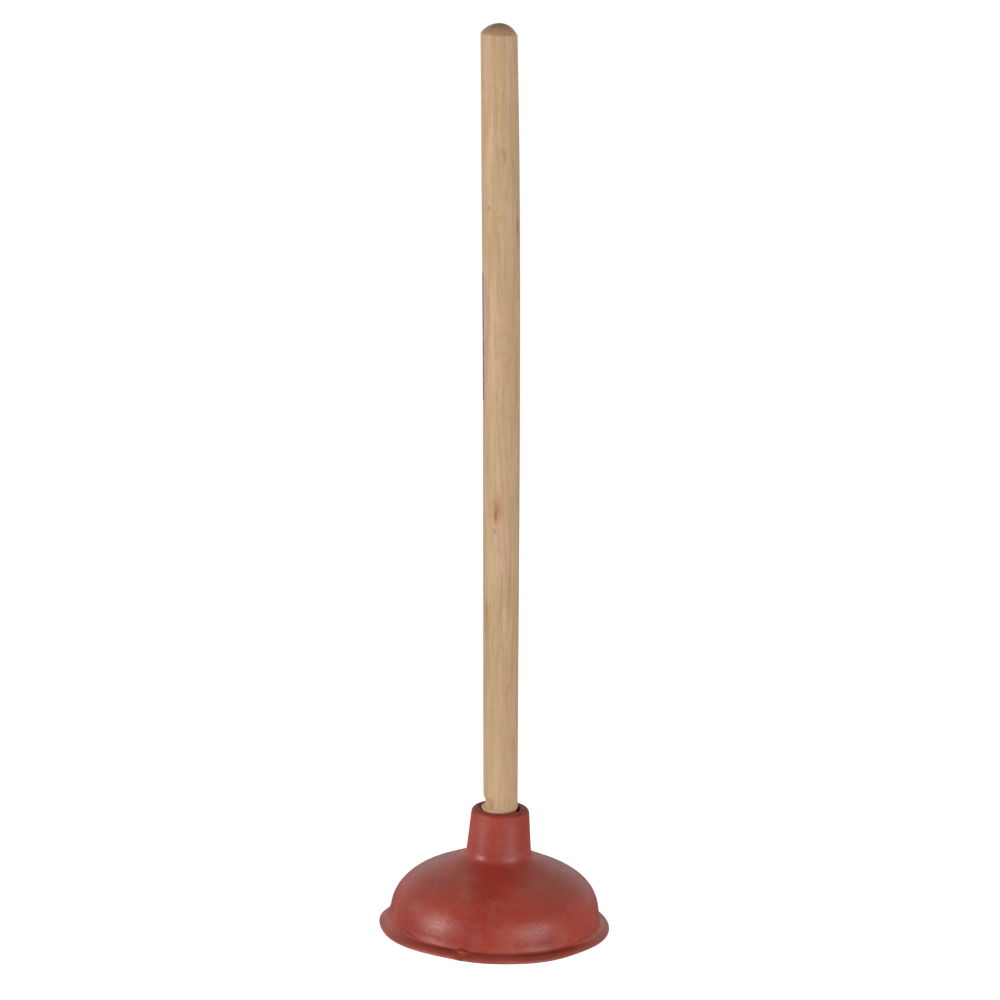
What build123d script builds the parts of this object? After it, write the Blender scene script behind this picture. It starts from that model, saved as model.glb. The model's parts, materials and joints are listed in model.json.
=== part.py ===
from build123d import *
import os
from math import cos, radians, sin

# Sink plunger: a turned wooden handle screwed into a one-piece moulded rubber cup.
# Millimetres, +Z up.  The origin is the centre of the circle that the cup's lip rests on.
# The cup is a body of revolution about Z.  The handle leans towards -X inside the cup's
# straight neck, and its axis crosses the cup's axis at the neck's mouth.
#
# The rubber cup is one moulding that bends.  It is divided only where it bends: at a
# cylinder under the shoulder, which the squashed bell slides past, and at two spheres
# about one centre, on which the neck rocks without its faces meeting.

# ---- driving dimensions -------------------------------------------------------------
LIP_RADIUS = 75.0  # outside of the flared lip
LIP_FLAT_OUTER = 71.0  # ring that rests on the sink
LIP_FLAT_INNER = 65.0
LIP_RIM_HEIGHT = 1.1  # height of the lip's widest line
LIP_TOP = 2.8  # top of the rounded rim
LIP_TOP_RADIUS = 73.0
CREASE_HEIGHT = 4.5  # crease between the lip and the bell
CREASE_RADIUS = 66.9
CREASE_LEDGE = 1.0  # small step of the lip's top just outside the crease
CREASE_STEP = 0.6
BELL_RADIUS = 67.4  # outside of the bell at its widest
BELL_WIDEST = 10.0  # height of that line
BELL_PULL = 10.5  # reach of the shoulder's curve: up the bell's wall, and down the crown
CROWN_PULL = 18.5
WALL = 4.2  # rubber wall
INNER_BELL_PULL = 8.5  # the same on the hollow side
INNER_CROWN_PULL = 16.5
CROWN_SLOPE = 25.0  # degrees, slope of the crown above the shoulder
CROWN_START = (44.0, 38.2)  # outside, where the shoulder's curve meets the crown's cone
CROWN_LENGTH = 18.0  # length of the cone's slope, up to the hollow foot of the neck
NECK_FOOT_RADIUS = 20.6
NECK_FOOT_HEIGHT = 54.0
NECK_FOOT_PULL = 4.5  # reach of the foot's curve, along the slope and down the neck
NECK_TOP = 80.0
NECK_TOP_RADIUS = 18.6
NECK_TOP_ROUND = 3.0
DOME_HEIGHT = 46.0  # inside of the crown, on the axis
DOME_RADIUS = 22.0  # inside, where the crown's cone meets the flat dome
DOME_FLAT = 12.0  # reach of the dome's curve, across its top and up the cone
DOME_PULL = 6.0

SOCKET_RADIUS = 12.05  # bore of the neck, 0.05 clear of the thread's crests
SOCKET_DEPTH = 30.0
HANDLE_LEAN = 2.38  # degrees from the cup's axis, towards -X
TOTAL_HEIGHT = 581.0
GRIP_RADIUS = 11.8  # truly cylindrical stretch of the handle
GRIP_START = 340.0  # distances along the handle, from the neck's mouth
GRIP_END = 420.0
MIDDLE_RADIUS = 11.4
MIDDLE_PLACE = 140.0
SHANK_RADIUS = 11.0  # foot of the shank, just above the thread
SHANK_START = 6.0
SHANK_STEP = 1.2  # length of the step from the shank down to the thread's root
HEAD_RADIUS = 11.3
DOME_RISE = 6.9  # height of the handle's domed end
THREAD_CREST = 12.0
THREAD_ROOT = 10.3
THREAD_PITCH = 5.0
THREAD_TOP = 2.0  # last crest, just above the mouth
RIDGE_ROOT = 3.4  # thickness of the thread's ridge at its foot and at its crest
RIDGE_CREST = 1.2
RIDGE_BURIED = 0.6  # how far the ridge reaches into the dowel
THREAD_TIP_GAP = 0.6  # between the handle's tip and the socket's floor
TIP_CHAMFER = 1.5

FLEX_CENTRE = 40.0  # height on the axis about which the neck rocks
OUTER_SPHERE = 42.0  # between the shoulder and the crown
INNER_SPHERE = 26.4  # between the crown and the neck
SHOULDER_CYLINDER = 54.0  # between the bell's wall and the shoulder
GAP = 0.3  # clearance between zones that move apart
CROWN_ZONE_TOP = 49.0  # above the crown's highest point, below the neck's wall


def along_slope(point, distance):
    """Point on the crown's slope, outwards and down from the given one."""
    slope = radians(CROWN_SLOPE)
    return (point[0] + distance * cos(slope), point[1] - distance * sin(slope))


def inward(point, distance):
    """Point under the crown's sloping surface, square to it."""
    slope = radians(CROWN_SLOPE)
    return (point[0] - distance * sin(slope), point[1] - distance * cos(slope))


crown_end = along_slope(CROWN_START, -CROWN_LENGTH)
inner_crown = inward(CROWN_START, WALL)
inner_dome = along_slope(inner_crown, -(inner_crown[0] - DOME_RADIUS) / cos(radians(CROWN_SLOPE)))

# ---- section of the whole cup, radius along X and height along Z --------------------
with BuildSketch(Plane.XZ) as cup_section:
    with BuildLine():
        # underside and rounded rim of the lip
        Line((LIP_FLAT_INNER, 0), (LIP_FLAT_OUTER, 0))
        Bezier((LIP_FLAT_OUTER, 0), (LIP_TOP_RADIUS, 0), (LIP_RADIUS, 0), (LIP_RADIUS, LIP_RIM_HEIGHT))
        Bezier((LIP_RADIUS, LIP_RIM_HEIGHT), (LIP_RADIUS, LIP_TOP), (LIP_TOP_RADIUS, LIP_TOP))
        Line((LIP_TOP_RADIUS, LIP_TOP), (CREASE_RADIUS + CREASE_LEDGE, CREASE_HEIGHT - CREASE_STEP))
        Line((CREASE_RADIUS + CREASE_LEDGE, CREASE_HEIGHT - CREASE_STEP), (CREASE_RADIUS, CREASE_HEIGHT))
        Line((CREASE_RADIUS, CREASE_HEIGHT), (BELL_RADIUS, BELL_WIDEST))
        # outside of the bell: steep wall, rounded shoulder, conical crown
        Bezier(
            (BELL_RADIUS, BELL_WIDEST),
            (BELL_RADIUS, BELL_WIDEST + BELL_PULL),
            along_slope(CROWN_START, CROWN_PULL),
            CROWN_START,
        )
        Line(CROWN_START, crown_end)
        # neck: hollow foot, drafted wall, rounded mouth
        Bezier(
            crown_end,
            along_slope(crown_end, -NECK_FOOT_PULL),
            (NECK_FOOT_RADIUS, NECK_FOOT_HEIGHT - NECK_FOOT_PULL),
            (NECK_FOOT_RADIUS, NECK_FOOT_HEIGHT),
        )
        Line((NECK_FOOT_RADIUS, NECK_FOOT_HEIGHT), (NECK_TOP_RADIUS, NECK_TOP - NECK_TOP_ROUND))
        RadiusArc(
            (NECK_TOP_RADIUS, NECK_TOP - NECK_TOP_ROUND),
            (NECK_TOP_RADIUS - NECK_TOP_ROUND, NECK_TOP),
            -NECK_TOP_ROUND,
        )
        Line((NECK_TOP_RADIUS - NECK_TOP_ROUND, NECK_TOP), (0, NECK_TOP))
        # hollow side: dome, crown, bell, lip
        Line((0, NECK_TOP), (0, DOME_HEIGHT))
        Bezier((0, DOME_HEIGHT), (DOME_FLAT, DOME_HEIGHT), along_slope(inner_dome, -DOME_PULL), inner_dome)
        Line(inner_dome, inner_crown)
        Bezier(
            inner_crown,
            along_slope(inner_crown, INNER_CROWN_PULL),
            (BELL_RADIUS - WALL, BELL_WIDEST + INNER_BELL_PULL),
            (BELL_RADIUS - WALL, BELL_WIDEST),
        )
        Line((BELL_RADIUS - WALL, BELL_WIDEST), (BELL_RADIUS - WALL, CREASE_HEIGHT))
        Line((BELL_RADIUS - WALL, CREASE_HEIGHT), (LIP_FLAT_INNER, 0))
    make_face()

# ---- frame of the handle: its own axis, section plane and end plane ------------------
lean = radians(HANDLE_LEAN)
mouth_centre = Vector(0, 0, NECK_TOP)
handle_up = Vector(-sin(lean), 0, cos(lean))
handle_side = Vector(cos(lean), 0, sin(lean))
handle_axis = Axis(mouth_centre, handle_up)
handle_section = Plane(origin=mouth_centre, x_dir=handle_side, z_dir=(0, -1, 0))
handle_plane = Plane(origin=mouth_centre, x_dir=handle_side, z_dir=handle_up)
handle_length = (TOTAL_HEIGHT - NECK_TOP) / cos(lean)
thread_length = SOCKET_DEPTH - THREAD_TIP_GAP
thread_start = TIP_CHAMFER + THREAD_PITCH / 2 - thread_length
thread_centre = mouth_centre + handle_up * thread_start

# ---- lip: the flared ring that seals against the sink --------------------------------
with BuildPart() as cup_lip:
    with BuildSketch(Plane.XZ):
        add(cup_section.sketch)
        Rectangle(2 * LIP_RADIUS, CREASE_HEIGHT, align=(Align.MIN, Align.MIN), mode=Mode.INTERSECT)
    revolve(axis=Axis.Z)

# ---- bell: the wall that folds when the cup is pushed down ---------------------------
with BuildPart() as cup_bell:
    with BuildSketch(Plane.XZ):
        add(cup_section.sketch)
        with Locations((SHOULDER_CYLINDER, CREASE_HEIGHT)):
            Rectangle(LIP_RADIUS, NECK_TOP, align=(Align.MIN, Align.MIN), mode=Mode.INTERSECT)
    revolve(axis=Axis.Z)

# ---- shoulder: outer band of the crown, rides up and down with the handle ------------
with BuildPart() as cup_shoulder:
    with BuildSketch(Plane.XZ):
        add(cup_section.sketch)
        with Locations((0, CREASE_HEIGHT)):
            Rectangle(
                SHOULDER_CYLINDER - GAP,
                DOME_HEIGHT - CREASE_HEIGHT,
                align=(Align.MIN, Align.MIN),
                mode=Mode.INTERSECT,
            )
        with Locations((0, FLEX_CENTRE)):
            Circle(OUTER_SPHERE, mode=Mode.SUBTRACT)
    revolve(axis=Axis.Z)

# ---- crown: inner band, rocks to front and back --------------------------------------
with BuildPart() as cup_crown:
    with BuildSketch(Plane.XZ):
        add(cup_section.sketch)
        with Locations((0, CREASE_HEIGHT)):
            Rectangle(
                SHOULDER_CYLINDER,
                CROWN_ZONE_TOP - CREASE_HEIGHT,
                align=(Align.MIN, Align.MIN),
                mode=Mode.INTERSECT,
            )
        with Locations((0, FLEX_CENTRE)):
            Circle(OUTER_SPHERE - GAP, mode=Mode.INTERSECT)
            Circle(INNER_SPHERE, mode=Mode.SUBTRACT)
    revolve(axis=Axis.Z)

# ---- neck: foot, socket and the web that closes the crown, rocks from side to side ---
with BuildSketch(Plane.XZ) as neck_zone:
    with Locations((0, FLEX_CENTRE)):
        Circle(INNER_SPHERE - GAP)
    with Locations((0, NECK_FOOT_HEIGHT - GAP)):
        Rectangle(INNER_SPHERE, NECK_TOP, align=(Align.MIN, Align.MIN))

with BuildPart() as cup_neck:
    with BuildSketch(Plane.XZ):
        add(cup_section.sketch)
        add(neck_zone.sketch, mode=Mode.INTERSECT)
    revolve(axis=Axis.Z)
    with BuildSketch(handle_plane.offset(-SOCKET_DEPTH)):
        Circle(SOCKET_RADIUS)
    extrude(amount=2 * SOCKET_DEPTH, mode=Mode.SUBTRACT)

# ---- handle: dowel with a domed end and a coarse thread cut on its foot ---------------
with BuildPart() as handle:
    with BuildSketch(handle_section):
        with BuildLine():
            Polyline(
                (0, -thread_length),
                (THREAD_ROOT - TIP_CHAMFER, -thread_length),
                (THREAD_ROOT, -thread_length + TIP_CHAMFER),
                (THREAD_ROOT, SHANK_START - SHANK_STEP),
                (SHANK_RADIUS, SHANK_START),
                (MIDDLE_RADIUS, MIDDLE_PLACE),
                (GRIP_RADIUS, GRIP_START),
                (GRIP_RADIUS, GRIP_END),
                (HEAD_RADIUS, handle_length - DOME_RISE),
            )
            dome_radius = (HEAD_RADIUS**2 + DOME_RISE**2) / (2 * DOME_RISE)
            RadiusArc((HEAD_RADIUS, handle_length - DOME_RISE), (0, handle_length), -dome_radius)
            Line((0, handle_length), (0, -thread_length))
        make_face()
    revolve(axis=handle_axis)
    with BuildLine() as thread_path:
        Helix(
            pitch=THREAD_PITCH,
            height=THREAD_TOP - thread_start,
            radius=THREAD_ROOT,
            center=thread_centre,
            direction=handle_up,
        )
    ridge_start = thread_path.line @ 0
    with BuildSketch(Plane(ridge_start, x_dir=ridge_start - thread_centre, z_dir=thread_path.line % 0)):
        with BuildLine():
            Polyline(
                (-RIDGE_BURIED, -RIDGE_ROOT / 2),
                (THREAD_CREST - THREAD_ROOT, -RIDGE_CREST / 2),
                (THREAD_CREST - THREAD_ROOT, RIDGE_CREST / 2),
                (-RIDGE_BURIED, RIDGE_ROOT / 2),
                close=True,
            )
        make_face()
    sweep(path=thread_path.line, is_frenet=True)

pieces = {
    "cup_lip": cup_lip,
    "cup_bell": cup_bell,
    "cup_shoulder": cup_shoulder,
    "cup_crown": cup_crown,
    "cup_neck": cup_neck,
    "handle": handle,
}
os.makedirs("parts", exist_ok=True)
for name, piece in pieces.items():
    piece.part.label = name
    export_step(piece.part, f"parts/{name}.step")
    box = piece.part.bounding_box()
    print(name, round(piece.part.volume), box.min, box.max)
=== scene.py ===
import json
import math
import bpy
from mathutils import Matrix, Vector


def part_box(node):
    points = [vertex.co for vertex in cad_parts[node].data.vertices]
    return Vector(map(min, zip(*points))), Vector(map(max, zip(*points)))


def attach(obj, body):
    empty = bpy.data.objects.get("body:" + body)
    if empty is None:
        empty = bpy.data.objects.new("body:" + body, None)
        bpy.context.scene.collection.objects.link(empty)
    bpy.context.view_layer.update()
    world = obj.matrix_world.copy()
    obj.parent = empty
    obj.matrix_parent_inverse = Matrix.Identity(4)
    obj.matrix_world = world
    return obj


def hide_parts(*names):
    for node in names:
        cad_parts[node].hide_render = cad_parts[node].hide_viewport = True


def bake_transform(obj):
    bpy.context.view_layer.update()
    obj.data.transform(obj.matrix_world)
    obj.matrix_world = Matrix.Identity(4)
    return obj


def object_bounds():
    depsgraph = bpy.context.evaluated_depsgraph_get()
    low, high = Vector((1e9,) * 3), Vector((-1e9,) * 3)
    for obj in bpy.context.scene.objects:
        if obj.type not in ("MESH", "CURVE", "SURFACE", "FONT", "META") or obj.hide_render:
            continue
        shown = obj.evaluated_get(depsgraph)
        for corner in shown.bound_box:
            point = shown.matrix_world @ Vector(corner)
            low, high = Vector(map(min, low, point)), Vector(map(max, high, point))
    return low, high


bl_info = {
    "name": "Sink plunger",
    "version": (1, 0, 0),
    "blender": (4, 5, 0),
    "location": "View3D > Sidebar > Plunger",
    "description": "Builds a sink plunger's rubber cup and turned handle around its packed frame",
    "category": "Object",
}

import bpy
import numpy as np
from mathutils import Matrix, Vector, noise

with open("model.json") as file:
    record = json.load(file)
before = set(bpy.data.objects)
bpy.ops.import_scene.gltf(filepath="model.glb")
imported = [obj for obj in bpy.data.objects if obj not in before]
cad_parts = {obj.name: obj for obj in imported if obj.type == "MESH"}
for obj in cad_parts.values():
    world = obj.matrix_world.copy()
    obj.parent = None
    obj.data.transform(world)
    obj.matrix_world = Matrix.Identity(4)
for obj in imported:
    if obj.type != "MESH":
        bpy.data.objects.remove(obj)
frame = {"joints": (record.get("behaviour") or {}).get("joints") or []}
cad_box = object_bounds()

# ---- places and sizes read from the frame, in metres ---------------------------------
MM = 0.001
JOINTS = {joint["name"]: joint for joint in frame["joints"]}
NECK_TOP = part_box("cup_neck")[1].z
SHOULDER_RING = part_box("cup_bell")[1].z  # rubber at this height rides wholly on the shoulder
CROWN_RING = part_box("cup_crown")[1].z  # rubber at this height rides wholly on the crown
HANDLE_UP = Vector(JOINTS["unscrew"]["axis"]).normalized()
HANDLE_SIDE = Vector((0.0, 1.0, 0.0)).cross(HANDLE_UP).normalized()
MOUTH = Vector((0.0, 0.0, NECK_TOP))
HANDLE_LENGTH = (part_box("handle")[1].z - NECK_TOP) / HANDLE_UP.z
THREAD_LENGTH = (NECK_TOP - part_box("handle")[0].z) / HANDLE_UP.z
HANDLE_LEAN = math.atan2(-HANDLE_UP.x, HANDLE_UP.z)


# ---- settings a user would change ----------------------------------------------------
def size(name, text, default):
    """A length in metres, given here in millimetres."""
    return bpy.props.FloatProperty(
        name=name, description=text, default=default * MM, unit="LENGTH", precision=5)


def colour(name, text, default):
    return bpy.props.FloatVectorProperty(
        name=name, description=text, subtype="COLOR", size=3, min=0, max=1, default=default)


def level(name, text, default, unit="NONE"):
    return bpy.props.FloatProperty(name=name, description=text, default=default, min=0, unit=unit)


class PlungerCupSettings(bpy.types.PropertyGroup):
    lip_radius: size("Lip radius", "Outside of the lip", 74.6)
    bell_radius: size("Bell radius", "Outside of the bell at its widest", 67.4)
    wall: size("Wall", "Thickness of the rubber wall", 4.2)
    neck_foot: size("Neck foot", "Radius of the neck just above its hollow foot", 20.6)
    mouth_radius: size("Mouth", "Radius at which the neck's rounded edge turns flat", 15.4)
    lean: size("Lean", "How far the lip stands to one side of the neck", 0.9)
    slack: size("Slack", "How far one stretch of the lip spreads", 0.9)
    ripple: size("Ripple", "Unevenness of the moulded wall", 0.18)
    segments: bpy.props.IntProperty(name="Segments", description="Faces round the cup", default=224, min=48)
    red: colour("Rubber", "Colour of clean rubber", (0.43, 0.049, 0.025))
    deep_red: colour("Rubber, deep", "Colour of the darker patches", (0.34, 0.033, 0.019))
    grime: colour("Grime", "Grime on the cut edge of the mouth", (0.13, 0.022, 0.014))
    # Also the colour of the painted sheen on the crown's sides and of the partly painted light on the lip's
    # ledge.
    dust_and_sheen: colour("Bloom", "Dusty film on the rubber", (0.44, 0.15, 0.11))


class PlungerHandleSettings(bpy.types.PropertyGroup):
    grip_radius: size("Grip radius", "Radius of the straight upper stretch", 11.8)
    foot_radius: size("Foot radius", "Radius just above the thread", 11.0)
    head_radius: size("Head radius", "Radius under the domed end", 11.3)
    dome_rise: size("Dome", "Height of the domed end", 6.9)
    bow: size("Bow", "How far the dowel bows to the side", 1.1)
    sides: bpy.props.IntProperty(name="Sides", description="Faces round the handle", default=120, min=24)
    thread_pitch: size("Thread pitch", "Rise of one turn of the thread", 5.0)
    thread_crest: size("Thread crest", "Radius of the thread's crest", 12.0)
    thread_root: size("Thread root", "Radius of the thread's root", 10.3)
    pale: colour("Pale wood", "Colour of the early wood", (0.655, 0.432, 0.260))
    dark: colour("Dark wood", "Colour of the late wood", (0.505, 0.322, 0.168))
    honey: colour("Honey", "Tint of the yellower stretches", (0.58, 0.385, 0.185))
    rosy: colour("Rosy", "Tint of the pinker stretches", (0.64, 0.375, 0.275))
    fresh: colour("Fresh wood", "Colour of the paler wood near the foot", (0.72, 0.485, 0.265))
    knot: colour("Knot", "Colour of knots and end grain", (0.33, 0.145, 0.040))
    ink: colour("Ink", "Colour of the ink stripe", (0.16, 0.045, 0.22))


class PlungerStudioSettings(bpy.types.PropertyGroup):
    floor: colour("Floor", "Colour of the floor", (0.72, 0.72, 0.72))
    glow: level("Floor glow", "Whitens the floor for the camera", 0.9)
    walls: level("Walls", "Light from the room's pale walls", 0.36)
    backdrop: level("Backdrop", "Light from the wall behind", 1.0)
    ceiling: level("Ceiling", "Light from the room's dim ceiling", 0.10)
    left: level("Left soft box", "Its power", 14.3, "POWER")
    right: level("Right soft box", "Its power", 12.0, "POWER")


# ---- outlines -------------------------------------------------------------------------
MOUTH_DROP = 0.6  # how far the neck's rounded mouth stays below the frame's, in millimetres


class Outline:
    """A run of points on an outline, in millimetres, made of lines and Bezier arcs."""

    def __init__(self, x, y):
        self.points = [(x, y)]

    def line(self, x, y, steps):
        x0, y0 = self.points[-1]
        for k in range(1, steps + 1):
            t = k / steps
            self.points.append((x0 + (x - x0) * t, y0 + (y - y0) * t))
        return self

    def arc(self, b, c, d, steps):
        a = np.array(self.points[-1])
        b, c, d = np.array(b), np.array(c), np.array(d)
        for k in range(1, steps + 1):
            t = k / steps
            u = 1 - t
            self.points.append(tuple(a * u**3 + 3 * b * u * u * t + 3 * c * u * t * t + d * t**3))
        return self

    def array(self):
        return np.array(self.points)


def outside(cup, edge):
    """Outside of the cup from its resting ring to the neck's mouth. The bell's lower edge is
    "tucked", hanging over the lip, "open", meeting it in a corner, or "flared" into it."""
    lip, bell, foot = cup.lip_radius / MM, cup.bell_radius / MM, cup.neck_foot / MM
    o = Outline(lip - 10.0, 0.0)
    o.line(lip - 3.2, 0.0, 5)
    if edge == "tucked":
        o.arc((lip - 1.2, 0.0), (lip, 0.35), (lip, 1.1), 8)
        o.arc((lip, 1.8), (lip - 0.8, 2.5), (lip - 2.2, 2.8), 8)
        o.arc((lip - 4.0, 3.2), (bell + 0.4, 3.3), (bell - 1.0, 3.5), 14)
        o.arc((bell - 1.6, 3.6), (bell - 1.6, 4.1), (bell - 0.9, 4.3), 7)
        o.arc((bell + 0.3, 4.6), (bell + 1.0, 4.9), (bell + 0.95, 5.7), 9)
        o.arc((bell + 0.7, 7.0), (bell + 0.1, 8.6), (bell, 11.5), 8)
    elif edge == "flared":
        o.arc((lip - 1.2, 0.0), (lip, 0.1), (lip, 0.7), 8)
        o.arc((lip, 1.2), (lip - 0.6, 1.6), (lip - 1.4, 2.0), 8)
        o.arc((lip - 2.6, 2.6), (lip - 4.4, 3.4), (bell + 1.9, 5.0), 14)
        o.arc((bell + 1.6, 5.5), (bell + 1.4, 6.0), (bell + 1.2, 6.7), 7)
        o.arc((bell + 0.9, 7.9), (bell + 0.6, 9.0), (bell + 0.35, 10.0), 9)
        o.arc((bell + 0.2, 10.6), (bell + 0.05, 11.0), (bell, 11.5), 8)
    else:
        o.arc((lip - 1.2, 0.0), (lip, 0.05), (lip, 0.4), 8)
        o.arc((lip, 0.65), (lip - 1.4, 0.8), (lip - 2.6, 1.1), 8)
        o.arc((lip - 4.2, 1.7), (lip - 5.3, 2.3), (bell + 1.4, 3.6), 14)
        o.arc((bell + 1.2, 4.3), (bell + 1.1, 5.1), (bell + 1.0, 5.8), 7)
        o.arc((bell + 0.9, 6.5), (bell + 0.8, 7.2), (bell + 0.7, 7.9), 9)
        o.arc((bell + 0.6, 9.0), (bell + 0.2, 10.2), (bell, 11.5), 8)
    o.arc((bell - 1.2, 20.1), (62.8, 30.2), (44.0, 37.8), 46)
    o.line(26.8, 45.6, 18)
    o.arc((23.0, 47.4), (foot + 0.2, 48.8), (foot, 53.8), 16)
    top, mouth = NECK_TOP / MM - MOUTH_DROP, cup.mouth_radius / MM
    o.line(18.75, top - 3.4, 24)
    o.arc((18.6, top - 1.4), (mouth + 2.2, top), (mouth, top), 12)
    return o.array()


def inside(cup):
    """Hollow side of the cup from its resting ring to the middle of its dome."""
    lip, wall = cup.lip_radius / MM, cup.bell_radius / MM - cup.wall / MM
    o = Outline(lip - 10.0, 0.0)
    o.arc((lip - 11.2, 0.6), (wall, 2.5), (wall, 5.0), 8)
    o.line(wall, 10.0, 5)
    o.arc((wall, 19.5), (57.6, 27.2), (42.2, 34.4), 32)
    o.line(22.0, 43.8, 14)
    o.arc((16.6, 46.3), (12.1, 46.0), (0.0, 46.0), 14)
    return o.array()


def cut(outline, low, high):
    """The stretch of a rising outline between two heights, with a point on each."""
    low, high = low / MM, high / MM
    start = int(np.argmax(outline[:, 1] >= low)) if low > 0 else 0
    past = np.nonzero(outline[start:, 1] > high)[0]
    end = start + int(past[0]) if len(past) else len(outline)
    kept = [tuple(p) for p in outline[start:end]]

    def at(height, index):
        a, b = outline[index - 1], outline[index]
        t = (height - a[1]) / (b[1] - a[1])
        return (a[0] + (b[0] - a[0]) * t, height)

    if low > 0 and kept[0][1] - low > 1e-6:
        kept.insert(0, at(low, start))
    if len(past) and high - kept[-1][1] > 1e-6:
        kept.append(at(high, end))
    return np.array(kept)


def smooth(low, high, value):
    t = np.clip((value - low) / (high - low), 0, 1)
    return t * t * (3 - 2 * t)


# ---- meshes ---------------------------------------------------------------------------
def link(name, mesh):
    piece = bpy.data.objects.new(name, mesh)
    bpy.context.scene.collection.objects.link(piece)
    return piece


def turned_mesh(name, rings, material, sharp=(), first_pole=False, last_pole=False):
    """A closed mesh through rings of points, an array of (ring, place round it, xyz). A pole
    closes the first or last ring at its centre, and otherwise the two are joined."""
    count, around = rings.shape[:2]
    vertices = [tuple(p) for p in rings.reshape(-1, 3)]
    faces = []
    rows = range(count - 1) if first_pole else range(count)
    for i in rows:
        k = (i + 1) % count
        for j in range(around):
            n = (j + 1) % around
            faces.append((i * around + j, i * around + n, k * around + n, k * around + j))
    for used, ring, turn in ((first_pole, 0, -1), (last_pole, count - 1, 1)):
        if used:
            vertices.append(tuple(rings[ring].mean(axis=0)))
            pole = len(vertices) - 1
            for j in range(around):
                corner = (ring * around + j, ring * around + (j + 1) % around)
                faces.append((corner[0], corner[1], pole)[::turn])
    mesh = bpy.data.meshes.new(name)
    mesh.from_pydata(vertices, [], faces)
    mesh.polygons.foreach_set("use_smooth", np.ones(len(faces), bool))
    sharp = set(sharp)
    flags = np.zeros(len(mesh.edges), bool)
    for edge in mesh.edges:
        a, b = edge.vertices
        if a // around == b // around and a // around in sharp and max(a, b) < count * around:
            flags[edge.index] = True
    mesh.attributes.new("sharp_edge", "BOOLEAN", "EDGE").data.foreach_set("value", flags)
    mesh.materials.append(material)
    mesh.update()
    return link(name, mesh)


def azimuths(count):
    """Angles round the cup from its front, -Y, towards +X."""
    return np.arange(count) * (2 * math.pi / count)


def spin(outline, angles):
    """Rings of an outline that is in millimetres, an array of (point, place, xyz)."""
    r, z = outline[..., 0] * MM, outline[..., 1] * MM
    if outline.ndim == 2:
        r, z = r[:, None], z[:, None]
    return np.stack([r * np.sin(angles), -r * np.cos(angles), z + 0 * angles], axis=-1)


RIPPLE_SCALE = 38.0  # how closely the moulded wall's unevenness is spaced, per metre
# Slack and tight stretches of the lip: middle and half width in degrees round the cup, amount.
LIP_WAVES = ((-116, 13, -2.2), (-57, 14, 1.0), (-25, 15, -2.1), (8, 13, -0.8), (50, 19, -2.1))


def moulded(rings, cup):
    """The lip's lean to one side, its slack and tight stretches, and the wall's unevenness,
    which fades out towards the lip and the crown."""
    angle = np.arctan2(rings[..., 0], -rings[..., 1])
    height = rings[..., 2] / MM
    window = smooth(7.0, 16.0, height) * (1 - smooth(22.0, 31.5, height))
    points = rings.reshape(-1, 3)
    ripple = np.array([noise.noise(Vector(p) * RIPPLE_SCALE) for p in points]).reshape(angle.shape)
    turn = np.degrees(angle)
    slack = sum(amount * np.exp(-(((turn - middle) / half) ** 2)) for middle, half, amount in LIP_WAVES)
    push = window * cup.ripple * ripple + slack * cup.slack * (1 - smooth(2.5, 6.0, height))
    radius = np.hypot(rings[..., 0], rings[..., 1])
    scale = 1 + push / np.maximum(radius, MM)
    rings[..., 0] *= scale
    rings[..., 1] *= scale
    rings[..., 0] -= cup.lean * (1 - smooth(12.0, 31.5, height))
    return rings


NICK_ANGLE, NICK_HALF = -16.5, 2.0  # middle and half width of the nick, in degrees


def edge_shares(angles):
    """How much of each edge the bell has round the cup: tucked at the front, but for one old
    nick in the crease, flared at both sides, and open behind."""
    turn = (np.degrees(angles) + 180) % 360 - 180
    right = smooth(40, 66, turn)
    behind_right = smooth(84, 104, turn)
    tucked = smooth(-66, -40, turn) * (1 - 0.85 * right) + 0.5 * behind_right * (1 - smooth(128, 172, turn))
    flared = smooth(-112, -92, turn) * (1 - smooth(-66, -40, turn)) + 0.85 * right * (1 - behind_right)
    tucked *= 1 - 0.85 * np.exp(-(((turn - NICK_ANGLE) / NICK_HALF) ** 2))
    return {"tucked": tucked, "flared": flared, "open": 1 - tucked - flared}


# ---- nodes and materials ----------------------------------------------------------------
MARKS = "wood_marks"  # the mesh colour that carries knots in red, ink in green, end grain in blue


def connect(tree, socket, value):
    """Links a socket to another node's output, or sets its value."""
    if isinstance(value, bpy.types.NodeSocket):
        tree.links.new(value, socket)
    else:
        socket.default_value = value


def node(tree, kind, values=None, **settings):
    made = tree.nodes.new(kind)
    for key, value in settings.items():
        setattr(made, key, value)
    for key, value in (values or {}).items():
        connect(tree, made.inputs[key], value)
    return made


def new_tree(name, kind, inputs, output, output_kind):
    """An empty node group with one output, and its two end nodes."""
    tree = bpy.data.node_groups.new(name, kind)
    for label, socket_kind, default in inputs:
        socket = tree.interface.new_socket(label, in_out="INPUT", socket_type=socket_kind)
        if default is not None:
            socket.default_value = default
    tree.interface.new_socket(output, in_out="OUTPUT", socket_type=output_kind)
    return tree, tree.nodes.new("NodeGroupInput"), tree.nodes.new("NodeGroupOutput")


def calculate(tree, operation, *values):
    """The result of a math node on one, two or three values."""
    return node(tree, "ShaderNodeMath", dict(enumerate(values)), operation=operation).outputs["Value"]


def vector_math(tree, operation, a, b):
    return node(tree, "ShaderNodeVectorMath", {0: a, 1: b}, operation=operation).outputs["Vector"]


def ramp(tree, value, low, high, to_low=0.0, to_high=1.0, **settings):
    """A value mapped from one range to another, and held at that range's ends."""
    return node(tree, "ShaderNodeMapRange", {
        "Value": value, "From Min": low, "From Max": high, "To Min": to_low, "To Max": to_high},
        **settings).outputs["Result"]


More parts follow.
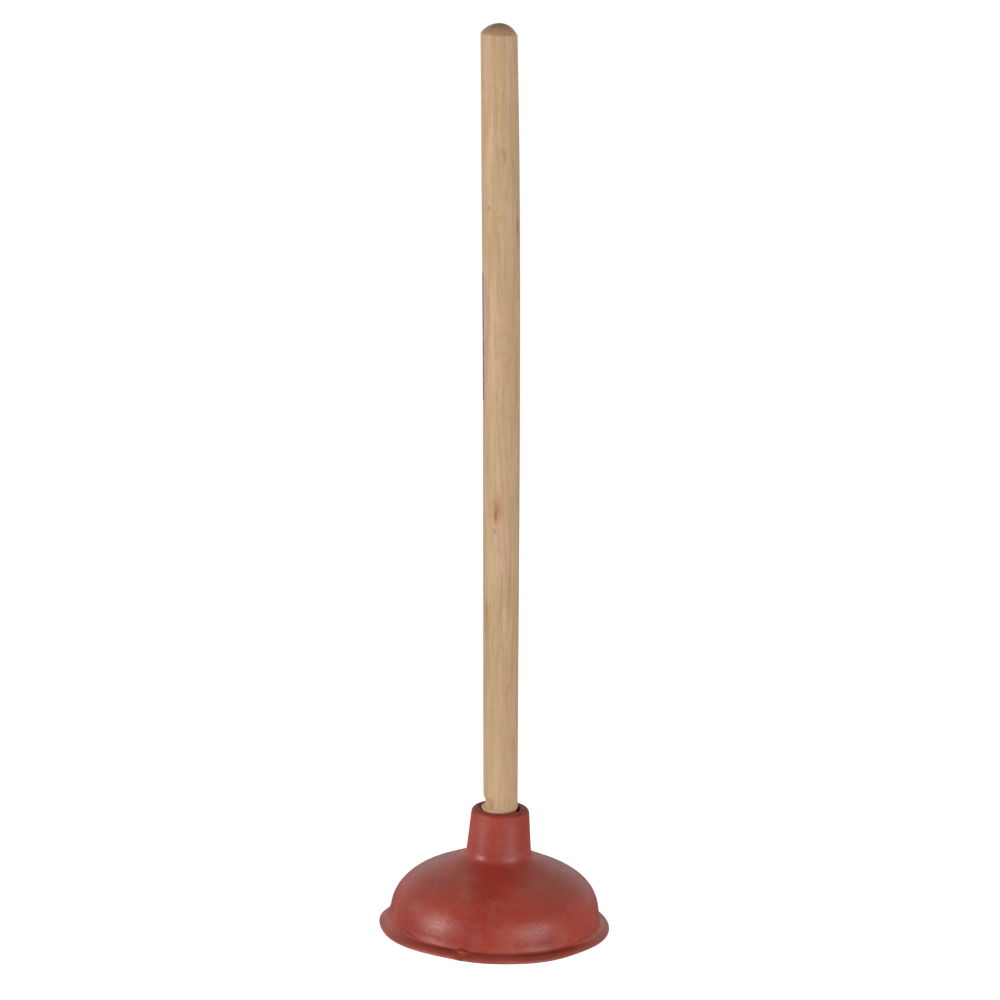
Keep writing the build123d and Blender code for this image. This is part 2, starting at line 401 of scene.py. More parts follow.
def mask_group(name, scales):
    """An empty group that takes a place, two scales and two thresholds, and gives a mask."""
    inputs = [("Vector", "NodeSocketVector", None)]
    for label, default in (*scales, ("Low", 0.4), ("High", 0.6)):
        inputs.append((label, "NodeSocketFloat", default))
    return new_tree(name, "ShaderNodeTree", inputs, "Mask", "NodeSocketFloat")


def noise_mask(tree, start, end, values):
    """Ends a mask group: noise, faded in between the two thresholds."""
    patches = node(tree, "ShaderNodeTexNoise", values).outputs["Fac"]
    low, high = start.outputs["Low"], start.outputs["High"]
    mask = ramp(tree, patches, low, high, interpolation_type="SMOOTHSTEP")
    tree.links.new(mask, end.inputs["Mask"])


def mottle_group():
    """Soft patches: a noise mask between two thresholds."""
    tree, start, end = mask_group("Mottle", (("Scale", 30.0), ("Detail", 4.0)))
    noise_mask(tree, start, end, {
        "Vector": start.outputs["Vector"], "Scale": start.outputs["Scale"],
        "Detail": start.outputs["Detail"], "Roughness": 0.6})
    return tree


def streak_group():
    """Long thin streaks along Z or round it: noise squeezed by two scales."""
    tree, start, end = mask_group("Streaks", (("Across", 400.0), ("Along", 10.0)))
    squeeze = node(tree, "ShaderNodeCombineXYZ", {
        "X": start.outputs["Across"], "Y": start.outputs["Across"], "Z": start.outputs["Along"]})
    scaled = vector_math(tree, "MULTIPLY", start.outputs["Vector"], squeeze.outputs["Vector"])
    noise_mask(tree, start, end, {"Vector": scaled, "Scale": 1.0, "Detail": 3.0, "Roughness": 0.55})
    return tree


def masks(tree, name, make):
    """A function that places a shared group in a material, and gives its mask."""
    shared = bpy.data.node_groups.get(name) or make()

    def mask(place, **values):
        named = {label.capitalize(): value for label, value in values.items()}
        made = node(tree, "ShaderNodeGroup", {"Vector": place, **named}, node_tree=shared)
        return made.outputs["Mask"]

    return mask


def blend_colour(tree, factor, a, b):
    """Blends two colours, each of them a node's output or a setting."""
    mix = node(tree, "ShaderNodeMix", {"Factor": factor}, data_type="RGBA")
    for key, value in ((6, a), (7, b)):
        connect(tree, mix.inputs[key], value if isinstance(value, bpy.types.NodeSocket) else (*value, 1.0))
    return mix.outputs[2]


def layered(tree, base, layers):
    """Lays colours over a base. A layer is its mask, the most of it that shows, and its colour."""
    for mask, most, tint in layers:
        base = blend_colour(tree, calculate(tree, "MULTIPLY", mask, most), base, tint)
    return base


def surface(tree, shader, base, rough, relief, strength, depth):
    """Gives a shader its colour, its roughness and its fine relief."""
    bumps = node(tree, "ShaderNodeBump", {"Strength": strength, "Distance": depth, "Height": relief})
    for label, value in (("Base Color", base), ("Roughness", rough), ("Normal", bumps.outputs["Normal"])):
        tree.links.new(value, shader.inputs[label])


def material(name):
    made = bpy.data.materials.new(name)
    made.use_nodes = True
    return made, made.node_tree, made.node_tree.nodes["Principled BSDF"]


def rubber(cup):
    """Moulded red rubber: satin, a little mottled, dusty, finely scuffed, with a painted sheen on the
    crown's sides and partly painted light on the lip's ledge.
    """
    found = bpy.data.materials.get("moulded_red_rubber")
    if found:
        return found
    made, tree, shader = material("moulded_red_rubber")
    mottle, streaks = masks(tree, "Mottle", mottle_group), masks(tree, "Streaks", streak_group)
    place = node(tree, "ShaderNodeTexCoord").outputs["Object"]
    slanted = node(tree, "ShaderNodeMapping", {"Vector": place, "Rotation": (0.0, 0.9, 0.5)})
    slanted = slanted.outputs["Vector"]
    parts = node(tree, "ShaderNodeSeparateXYZ", {"Vector": place})
    up, across = parts.outputs["Z"], calculate(tree, "ABSOLUTE", parts.outputs["X"])

    patches = mottle(place, scale=26.0, detail=5.0, low=0.36, high=0.66)
    specks = mottle(place, scale=620.0, detail=2.0, low=0.60, high=0.74)
    dust = mottle(place, scale=60.0, detail=7.0, low=0.42, high=0.72)
    flash = mottle(place, scale=620.0, detail=3.0, low=0.34, high=0.62)
    scuffs = streaks(place, across=90.0, along=1900.0, low=0.50, high=0.72)
    scratches = streaks(slanted, across=1500.0, along=120.0, low=0.64, high=0.74)
    wiped = streaks(slanted, across=420.0, along=60.0, low=0.36, high=0.64)

    rim = ramp(tree, up, NECK_TOP - 2.8 * MM, NECK_TOP - 1.0 * MM)
    dull = ramp(tree, up, NECK_TOP - 8.0 * MM, NECK_TOP - 3.0 * MM)
    # Partly dust, partly painted light: the lip's ledge is made paler, lifting it out of the shade under the
    # bell's edge.
    ledge_dust_and_light = ramp(tree, up, 6.0 * MM, 3.5 * MM)
    # Painted sheen: both sides of the crown are made paler, standing in for their grazing reflection.
    sheen = ramp(tree, across, 6.0 * MM, 24.0 * MM)  # a haze on both sides of the crown
    for low, high in ((24.0, 35.0), (50.0, 46.0)):
        sheen = calculate(tree, "MULTIPLY", sheen, ramp(tree, up, low * MM, high * MM))

    base = layered(tree, blend_colour(tree, patches, cup.deep_red, cup.red), (
        (dust, 0.38, cup.dust_and_sheen),
        (specks, 0.35, cup.dust_and_sheen),
        (calculate(tree, "MULTIPLY", rim, flash), 0.68, cup.grime),
        # partly dust, partly painted light on the lip's ledge
        (ledge_dust_and_light, 0.30, cup.dust_and_sheen),
        (calculate(tree, "MULTIPLY", scratches, dust), 0.45, cup.dust_and_sheen),
        # painted sheen on both sides of the crown, in the dust colour
        (sheen, 0.28, cup.dust_and_sheen),
    ))
    rough = calculate(tree, "MULTIPLY_ADD", scuffs, 0.10, 0.36)
    for mask, most in ((dust, 0.07), (dull, 0.22), (wiped, 0.07)):
        rough = calculate(tree, "MULTIPLY_ADD", mask, most, rough)
    grain = node(tree, "ShaderNodeTexNoise", {
        "Vector": place, "Scale": 700.0, "Detail": 3.0, "Roughness": 0.6}).outputs["Fac"]
    relief = calculate(tree, "MULTIPLY_ADD", scuffs, -0.45, grain)
    relief = calculate(tree, "MULTIPLY_ADD", wiped, 0.5, relief)
    surface(tree, shader, base, rough, relief, strength=0.16, depth=0.6 * MM)
    return made


def wood(handle):
    """Turned pale hardwood: straight grain, fine pores, darker end grain, knots and ink."""
    found = bpy.data.materials.get("turned_wood")
    if found:
        return found
    made, tree, shader = material("turned_wood")
    mottle, streaks = masks(tree, "Mottle", mottle_group), masks(tree, "Streaks", streak_group)
    place = node(tree, "ShaderNodeTexCoord").outputs["Object"]
    along = node(tree, "ShaderNodeMapping", {
        "Vector": place, "Location": tuple(MOUTH), "Rotation": (0.0, -HANDLE_LEAN, 0.0)},
        vector_type="TEXTURE").outputs["Vector"]
    waver = node(tree, "ShaderNodeTexNoise", {"Vector": along, "Scale": 9.0, "Detail": 2.0})
    wander = vector_math(tree, "MULTIPLY", waver.outputs["Color"], (0.006, 0.006, 0.0))
    grain = vector_math(tree, "ADD", along, wander)
    elsewhere = vector_math(tree, "ADD", grain, (0.31, 0.17, 0.53))

    bands = streaks(grain, across=520.0, along=20.0, low=0.36, high=0.64)
    fibres = streaks(grain, across=1150.0, along=70.0, low=0.38, high=0.64)
    pores = streaks(grain, across=1700.0, along=210.0, low=0.58, high=0.70)
    clouds = mottle(grain, scale=60.0, detail=6.0, low=0.38, high=0.66)
    tints = streaks(elsewhere, across=170.0, along=16.0, low=0.44, high=0.62)
    blush = streaks(elsewhere, across=300.0, along=22.0, low=0.52, high=0.66)
    flames = streaks(elsewhere, across=700.0, along=190.0, low=0.50, high=0.68)
    growth = mottle(along, scale=420.0, detail=4.0, low=0.35, high=0.65)

    rise = node(tree, "ShaderNodeSeparateXYZ", {"Vector": along}).outputs["Z"]
    foot = ramp(tree, rise, 100.0 * MM, 10.0 * MM)
    marks = node(tree, "ShaderNodeAttribute", attribute_name=MARKS).outputs["Color"]
    parts = node(tree, "ShaderNodeSeparateColor", {"Color": marks})
    within = {
        "Red": calculate(tree, "MULTIPLY_ADD", fibres, 0.5, 0.6),
        "Green": calculate(tree, "MULTIPLY_ADD", pores, -0.7, 1.0),
        "Blue": calculate(tree, "MULTIPLY_ADD", growth, 0.20, 0.06),
    }
    knots, inked, ends = (
        calculate(tree, "MULTIPLY", parts.outputs[label], mask) for label, mask in within.items())

    base = layered(tree, blend_colour(tree, bands, handle.dark, handle.pale), (
        (tints, 0.60, handle.honey),
        (blush, 0.50, handle.rosy),
        (fibres, 0.34, handle.pale),
        (clouds, 0.34, handle.dark),
        (flames, 0.16, handle.knot),
        (pores, 0.26, handle.knot),
        (foot, 0.34, handle.fresh),
        (knots, 1.0, handle.knot),
        (inked, 1.0, handle.ink),
        (ends, 1.0, handle.knot),
    ))
    rough = calculate(tree, "MULTIPLY_ADD", bands, -0.08, 0.62)
    relief = calculate(tree, "SUBTRACT", calculate(tree, "MULTIPLY", fibres, 0.5), pores)
    surface(tree, shader, base, rough, relief, strength=0.30, depth=0.25 * MM)
    return made


# ---- pieces ---------------------------------------------------------------------------
# The socket's floor, the relief that widens the bore above it, and the thread's clearance, in
# millimetres.
SOCKET_FLOOR, RELIEF, CLEARANCE = 47.9, 1.7, 0.15
# The old tear in the neck's mouth: middle and half width in degrees round it, and depth.
TEAR_ANGLE, TEAR_HALF, TEAR_DEPTH = 57, 11, 1.4 * MM


class PLUNGER_OT_bell(bpy.types.Operator):
    """Lip and bell of the cup, as one wall"""

    bl_idname = "plunger.bell"
    bl_label = "Lip and bell"

    def execute(self, context):
        cup = context.scene.plunger_cup
        angles = azimuths(cup.segments)
        hollow = cut(inside(cup), 0, SHOULDER_RING)[:0:-1]
        outer = sum(cut(outside(cup, edge), 0, SHOULDER_RING)[:, None, :] * share[None, :, None]
                    for edge, share in edge_shares(angles).items())
        cap = np.linspace(outer[-1, 0], hollow[0], 4)[1:-1]
        rings = np.concatenate([spin(outer, angles), spin(cap, angles), spin(hollow, angles)])
        last_outer = len(outer) - 1
        rings = moulded(rings, cup)
        bell = turned_mesh("rubber_bell", rings, rubber(cup), sharp=(last_outer, last_outer + 3))
        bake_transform(bell)
        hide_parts("cup_lip", "cup_bell")
        return {"FINISHED"}


class PLUNGER_OT_crown(bpy.types.Operator):
    """Crown of the cup, closed below by the dome under the neck's socket"""

    bl_idname = "plunger.crown"
    bl_label = "Crown"

    def execute(self, context):
        cup = context.scene.plunger_cup
        angles = azimuths(cup.segments)
        outer = cut(outside(cup, "tucked"), SHOULDER_RING, CROWN_RING)[::-1]
        hollow = cut(inside(cup), SHOULDER_RING, NECK_TOP)[:-1]
        top = np.linspace((1.0, outer[0][1]), outer[0], 8)[:-1]
        cap = np.linspace(outer[-1], hollow[0], 4)[1:-1]
        section = np.concatenate([top, outer, cap, hollow])[::-1]
        rings = moulded(spin(section, angles), cup)
        count = len(section)
        edges = (count - 1 - len(top), count - len(top) - len(outer), len(hollow) - 1)
        crown = turned_mesh("rubber_crown", rings, rubber(cup), sharp=edges, first_pole=True, last_pole=True)
        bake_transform(crown)
        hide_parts("cup_shoulder", "cup_crown")
        return {"FINISHED"}


class PLUNGER_OT_neck(bpy.types.Operator):
    """Neck of the cup, with the socket that the handle screws into and one old tear in its mouth"""

    bl_idname = "plunger.neck"
    bl_label = "Neck"

    def execute(self, context):
        cup = context.scene.plunger_cup
        handle = context.scene.plunger_handle
        angles = azimuths(cup.segments)
        outer = cut(outside(cup, "tucked"), CROWN_RING, NECK_TOP)
        bottom = np.linspace((1.0, outer[0][1]), outer[0], 8)[:-1]
        bore = handle.thread_crest / MM + CLEARANCE
        brim = 6  # steps from the neck's outside to the mouth's flat
        edge, brink = Outline(*outer[-1]), outer[-1][1]
        edge.arc((15.0, brink), (13.6, brink), (12.9, brink - 0.1), brim)
        edge.arc((12.6, brink - 0.2), (bore + 0.4, brink - 0.6), (bore, brink - 2.0), 5)
        edge.line(bore, 58.0, 12)
        wide = bore + RELIEF
        edge.line(wide, 56.0, 4)
        edge.line(wide, SOCKET_FLOOR + 1.0, 6)
        edge.arc((wide, SOCKET_FLOOR + 0.4), (wide - 0.5, SOCKET_FLOOR), (wide - 1.3, SOCKET_FLOOR), 4)
        edge.line(1.0, SOCKET_FLOOR, 6)
        socket = edge.array()[1:]
        upright = spin(np.concatenate([bottom, outer, socket]), angles)
        along = upright - np.array(MOUTH)
        axes = np.array([HANDLE_SIDE, (0.0, 1.0, 0.0), HANDLE_UP])
        tilted = along @ axes + np.array(MOUTH)
        follow = np.zeros(len(upright))  # how far each ring follows the handle's lean
        first = len(bottom) + len(outer)
        follow[first:] = 1
        follow[first:first + brim] = np.linspace(0.15, 1, brim)
        rings = upright * (1 - follow[:, None, None]) + tilted * follow[:, None, None]
        turn = np.degrees(np.arctan2(rings[..., 0], -rings[..., 1]))
        near_mouth = smooth(72.0, 77.0, rings[..., 2] / MM) * (follow[:, None] > 0.3)
        tear = TEAR_DEPTH * near_mouth * np.exp(-(((turn - TEAR_ANGLE) / TEAR_HALF) ** 2))
        radius = np.hypot(rings[..., 0], rings[..., 1])
        rings[..., :2] *= 1 + (tear / np.maximum(radius, MM))[..., None]
        neck = turned_mesh(
            "rubber_neck", rings, rubber(cup), sharp=(len(bottom),), first_pole=True, last_pole=True)
        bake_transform(neck)
        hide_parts("cup_neck")
        return {"FINISHED"}


def roughened(tree, mesh, most, scale, detail):
    """Geometry nodes that push a mesh's surface in and out by noise."""
    lumps = node(tree, "ShaderNodeTexNoise", {"Scale": scale, "Detail": detail}).outputs["Fac"]
    push = calculate(tree, "MULTIPLY", calculate(tree, "SUBTRACT", lumps, 0.5), most)
    normal = node(tree, "GeometryNodeInputNormal").outputs[0]
    offset = node(tree, "ShaderNodeVectorMath", {0: normal, "Scale": push}, operation="SCALE").outputs[0]
    return node(tree, "GeometryNodeSetPosition", {"Geometry": mesh, "Offset": offset}).outputs["Geometry"]


def painted(tree, mesh, start, end):
    """Ends geometry nodes: makes the mesh real and gives it its material."""
    real = node(tree, "GeometryNodeRealizeInstances", {"Geometry": mesh}).outputs["Geometry"]
    covered = node(tree, "GeometryNodeSetMaterial", {
        "Geometry": real, "Material": start.outputs["Material"]})
    tree.links.new(covered.outputs["Geometry"], end.inputs[0])


def dowel_tree():
    """Geometry nodes: a round bar along a path, with the path's own radii, and slightly uneven."""
    tree, start, end = new_tree("Turned bar", "GeometryNodeTree", (
        ("Path", "NodeSocketGeometry", None), ("Sides", "NodeSocketInt", 96),
        ("Unevenness", "NodeSocketFloat", 0.0001), ("Material", "NodeSocketMaterial", None),
    ), "Bar", "NodeSocketGeometry")
    circle = node(tree, "GeometryNodeCurvePrimitiveCircle", {
        "Resolution": start.outputs["Sides"], "Radius": 1.0})
    radius = node(tree, "GeometryNodeInputRadius").outputs["Radius"]
    bar = node(tree, "GeometryNodeCurveToMesh", {
        "Curve": start.outputs["Path"], "Profile Curve": circle.outputs["Curve"],
        "Scale": radius, "Fill Caps": True})
    uneven = roughened(tree, bar.outputs["Mesh"], start.outputs["Unevenness"], scale=45.0, detail=1.0)
    rounded = node(tree, "GeometryNodeSetShadeSmooth", {"Geometry": uneven})
    painted(tree, rounded.outputs["Geometry"], start, end)
    return tree


def thread_tree():
    """Geometry nodes: a tapered ridge that winds round Z, with a slightly frayed surface."""
    tree, start, end = new_tree("Thread ridge", "GeometryNodeTree", (
        ("Turns", "NodeSocketFloat", 5.0), ("Pitch", "NodeSocketFloat", 0.005),
        ("Root radius", "NodeSocketFloat", 0.0103), ("Crest radius", "NodeSocketFloat", 0.012),
        ("Ridge width", "NodeSocketFloat", 0.0032), ("Frayed", "NodeSocketFloat", 0.0002),
        ("Material", "NodeSocketMaterial", None),
    ), "Ridge", "NodeSocketGeometry")
    turns, root, width = (start.outputs[label] for label in ("Turns", "Root radius", "Ridge width"))
    helix = node(tree, "GeometryNodeCurveSpiral", {
        "Resolution": 96, "Rotations": turns, "Start Radius": root, "End Radius": root,
        "Height": calculate(tree, "MULTIPLY", turns, start.outputs["Pitch"])})
    upright = node(tree, "GeometryNodeSetCurveNormal", {"Curve": helix.outputs["Curve"]}, mode="Z_UP")
    depth = calculate(tree, "SUBTRACT", start.outputs["Crest radius"], root)
    section = node(tree, "GeometryNodeCurvePrimitiveQuadrilateral", {
        "Bottom Width": width, "Top Width": calculate(tree, "MULTIPLY", width, 0.42),
        "Height": calculate(tree, "MULTIPLY", depth, 2.0), "Offset": 0.0}, mode="TRAPEZOID")
    ridge = node(tree, "GeometryNodeCurveToMesh", {
        "Curve": upright.outputs["Curve"], "Profile Curve": section.outputs["Curve"], "Fill Caps": True})
    frayed = roughened(tree, ridge.outputs["Mesh"], start.outputs["Frayed"], scale=900.0, detail=2.0)
    painted(tree, frayed, start, end)
    return tree


def evaluated_mesh(name, source, tree, values):
    """Runs a geometry nodes tree on an object and gives the plain mesh it makes."""
    modifier = source.modifiers.new("shape", "NODES")
    modifier.node_group = tree
    for item in tree.interface.items_tree:
        if item.name in values:
            modifier[item.identifier] = values[item.name]
    context = bpy.context
    context.view_layer.update()
    mesh = bpy.data.meshes.new_from_object(source.evaluated_get(context.evaluated_depsgraph_get()))
    mesh.name = name
    source.modifiers.remove(modifier)
    bpy.data.objects.remove(source)
    return mesh


def handle_frame():
    """Takes points in the handle's own frame, with its axis along Z, into the shared frame."""
    axes = Matrix((HANDLE_SIDE, (0.0, 1.0, 0.0), HANDLE_UP)).transposed()
    return Matrix.Translation(MOUTH) @ axes.to_4x4()


def handle_radius(handle, s):
    """Radius of the turned dowel at a place along it, without its thread and its dome."""
    middle = 0.0114
    profile = (
        (-THREAD_LENGTH, handle.thread_root), (-0.0015, handle.thread_root),
        (-0.0005, handle.foot_radius), (0.140, middle), (0.340, handle.grip_radius),
        (0.420, handle.grip_radius), (HANDLE_LENGTH, handle.head_radius),
    )
    return np.interp(s, *zip(*profile))


def paint_marks(mesh, colours):
    layer = mesh.color_attributes.new(MARKS, "FLOAT_COLOR", "POINT")
    layer.data.foreach_set("color", colours.astype(np.float32).ravel())


END_GRAIN = 0.45  # how dark the end grain is on the thread and at the handle's foot
# The plain ink stripe: its angle from the front in degrees, then its half width and its two
# ends along the handle in millimetres.
STRIPE_ANGLE, STRIPE_HALF, STRIPE_FROM, STRIPE_TO = -82, 2.8, 266.0, 349.2
# Knots and flecks: place along the handle, angle from the front towards +X, half length and
# half width, all in millimetres and degrees, and how dark.
KNOTS = (
    (194.5, -14.5, 3.6, 1.0, 0.90),
    (199.5, -9.0, 7.5, 3.2, 0.60),
    (185.0, -17.0, 1.3, 0.9, 1.00),
    (389.0, -36.0, 1.2, 0.8, 0.95),
    (298.0, 4.0, 1.0, 2.6, 0.34),
    (377.0, 64.0, 4.7, 1.3, 0.95),
    (366.0, 66.0, 4.0, 1.1, 0.60),
    (334.0, 68.0, 2.2, 1.0, 0.50),
    (133.0, -50.0, 6.0, 0.8, 0.90),
    (122.0, -57.0, 7.0, 0.8, 0.70),
    (153.0, 30.0, 8.0, 0.7, 0.26),
    (92.0, -57.0, 9.0, 0.7, 0.45),
    (45.6, 47.0, 3.2, 0.7, 0.60),
    (420.0, 17.0, 3.4, 0.8, 0.60),
    (424.0, 12.0, 2.0, 1.8, 0.32),
    (442.0, 22.0, 8.0, 0.7, 0.34),
    (4.4, -42.0, 2.4, 3.6, 0.26),
    (2.4, -32.0, 1.2, 1.0, 0.65),
    (230.0, 150.0, 4.0, 1.4, 0.70),
    (238.0, 158.0, 7.0, 2.6, 0.30),
    (96.0, -140.0, 3.0, 1.0, 0.60),
    (330.0, 120.0, 6.0, 0.7, 0.45),
)


class PLUNGER_OT_handle(bpy.types.Operator):
    """Turned handle with a domed end, and the worn foot of its shank at the neck's mouth"""

    bl_idname = "plunger.handle"
    bl_label = "Handle"

    def execute(self, context):
        handle = context.scene.plunger_handle
        dome_base = HANDLE_LENGTH - handle.dome_rise
        cap_radius = (handle.head_radius**2 + handle.dome_rise**2) / (2 * handle.dome_rise)
        top_angle = math.asin(handle.head_radius / cap_radius)
        coarse, fine = 0.001, 0.00035  # spacing of the rings, closer at the torn foot
        shank = np.concatenate([
            np.arange(-THREAD_LENGTH, -0.003, coarse),
            np.arange(-0.003, 0.010, fine),
            np.arange(0.010, dome_base - 0.0012, coarse),
            dome_base - np.array([0.0009, 0.0006, 0.0003]),
        ])
        lap = np.linspace(top_angle, 0.03, 26)
        stations = np.concatenate([shank, HANDLE_LENGTH - cap_radius * (1 - np.cos(lap))])
        radii = np.concatenate([handle_radius(handle, shank), cap_radius * np.sin(lap)])
        radii[0] -= 0.0012  # a bevel on the hidden tip
        path = bpy.data.curves.new("handle_path", "CURVE")
        path.dimensions = "3D"
        spline = path.splines.new("POLY")
        spline.points.add(len(stations) - 1)
        bow = handle.bow * np.sin(np.clip(stations / HANDLE_LENGTH, 0, 1) ** 1.4 * math.pi)
        for point, s, r, b in zip(spline.points, stations, radii, bow):
            point.co = (b, 0.0, s, 1.0)
            point.radius = r
        mesh = evaluated_mesh("wooden_handle", link("handle_path", path), dowel_tree(), {
            "Sides": handle.sides, "Unevenness": 0.00016, "Material": wood(handle)})
        co = np.zeros(len(mesh.vertices) * 3)
        mesh.vertices.foreach_get("co", co)
        co = self.worn(co.reshape(-1, 3), handle, dome_base)
        self.mark(mesh, co, handle, dome_base)
        mesh.vertices.foreach_set("co", co.ravel())
        mesh.transform(handle_frame())
        mesh.update()
        piece = link("wooden_handle", mesh)
        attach(piece, "handle")
        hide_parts("handle")
        return {"FINISHED"}

    def worn(self, co, handle, dome_base):
        """The skirt of torn wood at the mouth, the gouge above it, and the dome's uneven edge.
        Places and depths in here are in millimetres, and directions round it in degrees."""
        s, dome, length = co[:, 2] / MM, dome_base / MM, HANDLE_LENGTH / MM
        turn = np.degrees(np.arctan2(co[:, 0], -co[:, 1]))
        radius = np.maximum(np.hypot(co[:, 0], co[:, 1]) / MM, 0.001)
        missing = smooth(8, 40, turn) * (1 - smooth(118, 150, turn))
        skirt = (handle.thread_crest / MM + 0.2 - radius) * (1 - missing)
        waver = 0.3 * np.sin(np.radians(turn * 3 + 40))
        skirt = skirt * np.exp(-(np.abs((s + 0.2 - waver) / 1.3) ** 4))
        side = smooth(-140, -110, turn) * (1 - smooth(-27, -21, turn))
        depth = 0.9 + 0.4 * smooth(-30, -70, turn)
        gouge = depth * side * smooth(0.8, 1.8, s) * (1 - smooth(5.0, 8.6, s))
        inside_socket = s < -1.6
        push = np.where(inside_socket, 0, skirt - gouge)
        co[:, :2] *= (1 + push / radius)[:, None]
        near_dome = smooth(dome - 12.0, dome - 1.0, s) * (1 - smooth(dome, length, s))
        co[:, 2] -= near_dome * 0.9 * MM * co[:, 0] / handle.head_radius
        return co

    def mark(self, mesh, co, handle, dome_base):
        """Knots, flecks and the plain ink stripe, as a colour on each point of the mesh."""
        s, dome = co[:, 2] / MM, dome_base / MM
        turn = np.degrees(np.arctan2(co[:, 0], -co[:, 1]))

        def across(angle):
            """Distance round the handle from the line at an angle, in millimetres."""
            return np.radians((turn - angle + 180) % 360 - 180) * handle.grip_radius / MM

        knots = np.zeros(len(co))
        for place, angle, long, wide, dark in KNOTS:
            knots += dark * np.exp(-(((s - place) / long) ** 2) - (across(angle) / wide) ** 2)
        aside = across(STRIPE_ANGLE)
        stripe = smooth(-STRIPE_HALF - 0.6, -STRIPE_HALF, aside)
        stripe *= 1 - smooth(STRIPE_HALF, STRIPE_HALF + 0.8, aside)
        stripe *= smooth(STRIPE_FROM, STRIPE_FROM + 1.5, s) * (1 - smooth(STRIPE_TO - 1.4, STRIPE_TO, s))
        stripe *= 1 - 0.45 * (np.sin(s / 2.1) > 0.93)  # paler bands across it, 13 mm apart
        foot = END_GRAIN * (1 - smooth(1.2, 4.2, s))
        ends = np.maximum(smooth(dome - 0.2, dome + 0.6, s), foot)
        paint_marks(mesh, np.stack([np.clip(knots, 0, 1), stripe, ends, np.ones(len(co))], axis=-1))


class PLUNGER_OT_thread(bpy.types.Operator):
    """Coarse thread cut on the handle's foot"""

    bl_idname = "plunger.thread"
    bl_label = "Thread"

    def execute(self, context):
        handle = context.scene.plunger_handle
        # The ridge's middle starts and ends a little inside the stretch that it is cut on.
        bottom = -THREAD_LENGTH + 0.6 * handle.thread_pitch
        turns = (-0.4 * handle.thread_pitch - bottom) / handle.thread_pitch
        source = link("thread_source", bpy.data.meshes.new("thread_source"))
        mesh = evaluated_mesh("handle_thread", source, thread_tree(), {
            "Turns": turns, "Pitch": handle.thread_pitch, "Root radius": handle.thread_root,
            "Crest radius": handle.thread_crest, "Material": wood(handle)})
        mesh.transform(Matrix.Translation((0, 0, bottom)))
        mesh.transform(handle_frame())
        paint_marks(mesh, np.tile((0.0, 0.0, END_GRAIN, 1.0), (len(mesh.vertices), 1)))
        piece = link("handle_thread", mesh)
        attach(piece, "handle")
        return {"FINISHED"}


# ---- stage ------------------------------------------------------------------------------
FLOOR_REACH = 6.0
BOX_WIDTH, BOX_HEIGHT = 0.4, 0.8
BOX_AIM = (0.0, 0.0, 0.12)
LEFT_BOX, RIGHT_BOX = (-1.35, -0.66, 0.42), (1.08, -1.08, 0.42)
SENSOR, LENS = 36.0, 121.9  # in millimetres
SHIFT_X, SHIFT_Y = -0.0139, -0.0150
CAMERA_BACK, CAMERA_UP = 3.58, 1.31  # in heights of the object
CAMERA_DOWN, CAMERA_ROLL = 12.7, 2.38  # in degrees


def soft_box(name, place, power):
    light = bpy.data.lights.new(name, "AREA")
    light.shape = "RECTANGLE"
    light.size, light.size_y = BOX_WIDTH, BOX_HEIGHT
    light.energy = power
    lamp = link(name, light)
    lamp.location = place
    lamp.rotation_euler = (Vector(BOX_AIM) - Vector(place)).to_track_quat("-Z", "Y").to_euler()


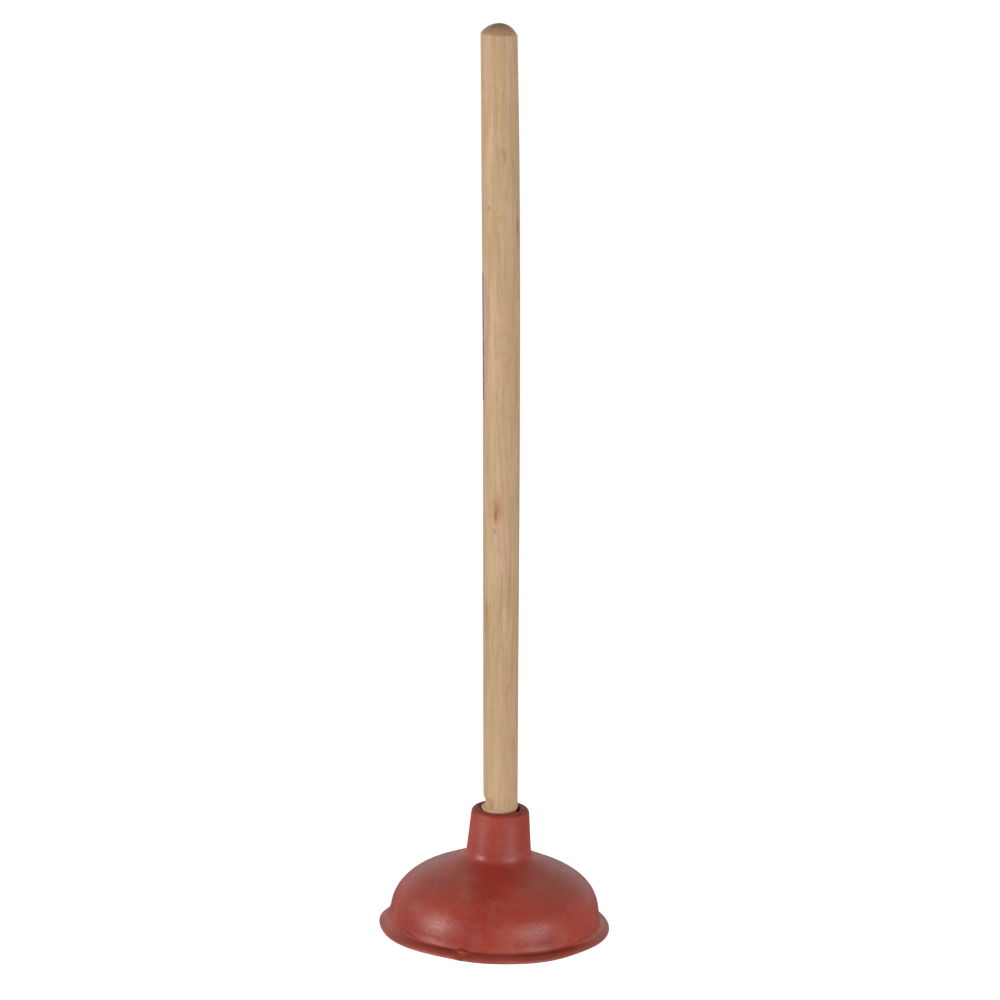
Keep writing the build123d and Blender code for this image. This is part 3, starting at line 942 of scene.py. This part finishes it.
class PLUNGER_OT_stage(bpy.types.Operator):
    """Pale floor, even room light, two soft boxes and the camera"""

    bl_idname = "plunger.stage"
    bl_label = "Stage"

    def execute(self, context):
        studio = context.scene.plunger_studio
        self.floor(studio)
        self.room(context, studio)
        soft_box("left_box", LEFT_BOX, studio.left)
        soft_box("right_box", RIGHT_BOX, studio.right)
        self.camera(context)
        return {"FINISHED"}

    def floor(self, studio):
        mesh = bpy.data.meshes.new("floor")
        corners = [(x * FLOOR_REACH, y * FLOOR_REACH, 0) for x, y in ((-1, -1), (1, -1), (1, 1), (-1, 1))]
        mesh.from_pydata(corners, [], [(0, 1, 2, 3)])
        paper, tree, shader = material("floor_paper")
        shader.inputs["Base Color"].default_value = (*studio.floor, 1)
        shader.inputs["Roughness"].default_value = 0.9
        shader.inputs["Specular IOR Level"].default_value = 0.0
        shader.inputs["Emission Color"].default_value = (1, 1, 1, 1)
        seen = node(tree, "ShaderNodeLightPath").outputs["Is Camera Ray"]
        glow = calculate(tree, "MULTIPLY", seen, studio.glow)
        tree.links.new(glow, shader.inputs["Emission Strength"])
        mesh.materials.append(paper)
        link("floor", mesh)

    def room(self, context, studio):
        """Light from all round: pale walls, a brighter one behind, and a dim ceiling."""
        world = bpy.data.worlds.new("room")
        world.use_nodes = True
        tree = world.node_tree
        seen = node(tree, "ShaderNodeLightPath").outputs["Is Camera Ray"]
        direction = node(tree, "ShaderNodeTexCoord").outputs["Generated"]
        parts = node(tree, "ShaderNodeSeparateXYZ", {"Vector": direction})
        backdrop = ramp(tree, parts.outputs["Y"], 0.2, 0.9, studio.walls, studio.backdrop)
        walls = ramp(tree, parts.outputs["Z"], 0.12, 0.8, backdrop, studio.ceiling)
        background = tree.nodes["Background"]
        background.inputs["Color"].default_value = (1, 1, 1, 1)
        tree.links.new(ramp(tree, seen, 0.0, 1.0, walls, 1.0), background.inputs["Strength"])
        context.scene.world = world
        context.scene.view_settings.view_transform = "Standard"

    def camera(self, context):
        camera = bpy.data.cameras.new("camera")
        camera.sensor_width, camera.lens = SENSOR, LENS
        camera.shift_x, camera.shift_y = SHIFT_X, SHIFT_Y
        tall = cad_box[1][2]
        place = Matrix.Translation((0.0, -CAMERA_BACK * tall, CAMERA_UP * tall))
        tilt = Matrix.Rotation(math.radians(90 - CAMERA_DOWN), 4, "X")
        roll = Matrix.Rotation(math.radians(CAMERA_ROLL), 4, "Z")
        viewer = link("camera", camera)
        viewer.matrix_world = place @ tilt @ roll
        context.scene.camera = viewer


class PLUNGER_PT_panel(bpy.types.Panel):
    bl_label = "Sink plunger"
    bl_idname = "PLUNGER_PT_panel"
    bl_space_type = "VIEW_3D"
    bl_region_type = "UI"
    bl_category = "Plunger"

    def draw(self, context):
        for operator in OPERATORS:
            self.layout.operator(operator.bl_idname)
        for settings in SETTINGS:
            group_of = getattr(context.scene, settings)
            box = self.layout.box()
            for name in group_of.__annotations__:
                box.prop(group_of, name)


OPERATORS = (
    PLUNGER_OT_bell,
    PLUNGER_OT_crown,
    PLUNGER_OT_neck,
    PLUNGER_OT_handle,
    PLUNGER_OT_thread,
    PLUNGER_OT_stage,
)
SETTINGS = {
    "plunger_cup": PlungerCupSettings,
    "plunger_handle": PlungerHandleSettings,
    "plunger_studio": PlungerStudioSettings,
}


def register():
    for cls in (*SETTINGS.values(), *OPERATORS, PLUNGER_PT_panel):
        bpy.utils.register_class(cls)
    for name, cls in SETTINGS.items():
        setattr(bpy.types.Scene, name, bpy.props.PointerProperty(type=cls))


def unregister():
    for name in SETTINGS:
        delattr(bpy.types.Scene, name)
    for cls in reversed((*SETTINGS.values(), *OPERATORS, PLUNGER_PT_panel)):
        bpy.utils.unregister_class(cls)


def main():
    register()
    bpy.ops.plunger.bell()
    bpy.ops.plunger.crown()
    bpy.ops.plunger.neck()
    bpy.ops.plunger.handle()
    bpy.ops.plunger.thread()
    bpy.ops.plunger.stage()


if __name__ == "__main__":
    main()
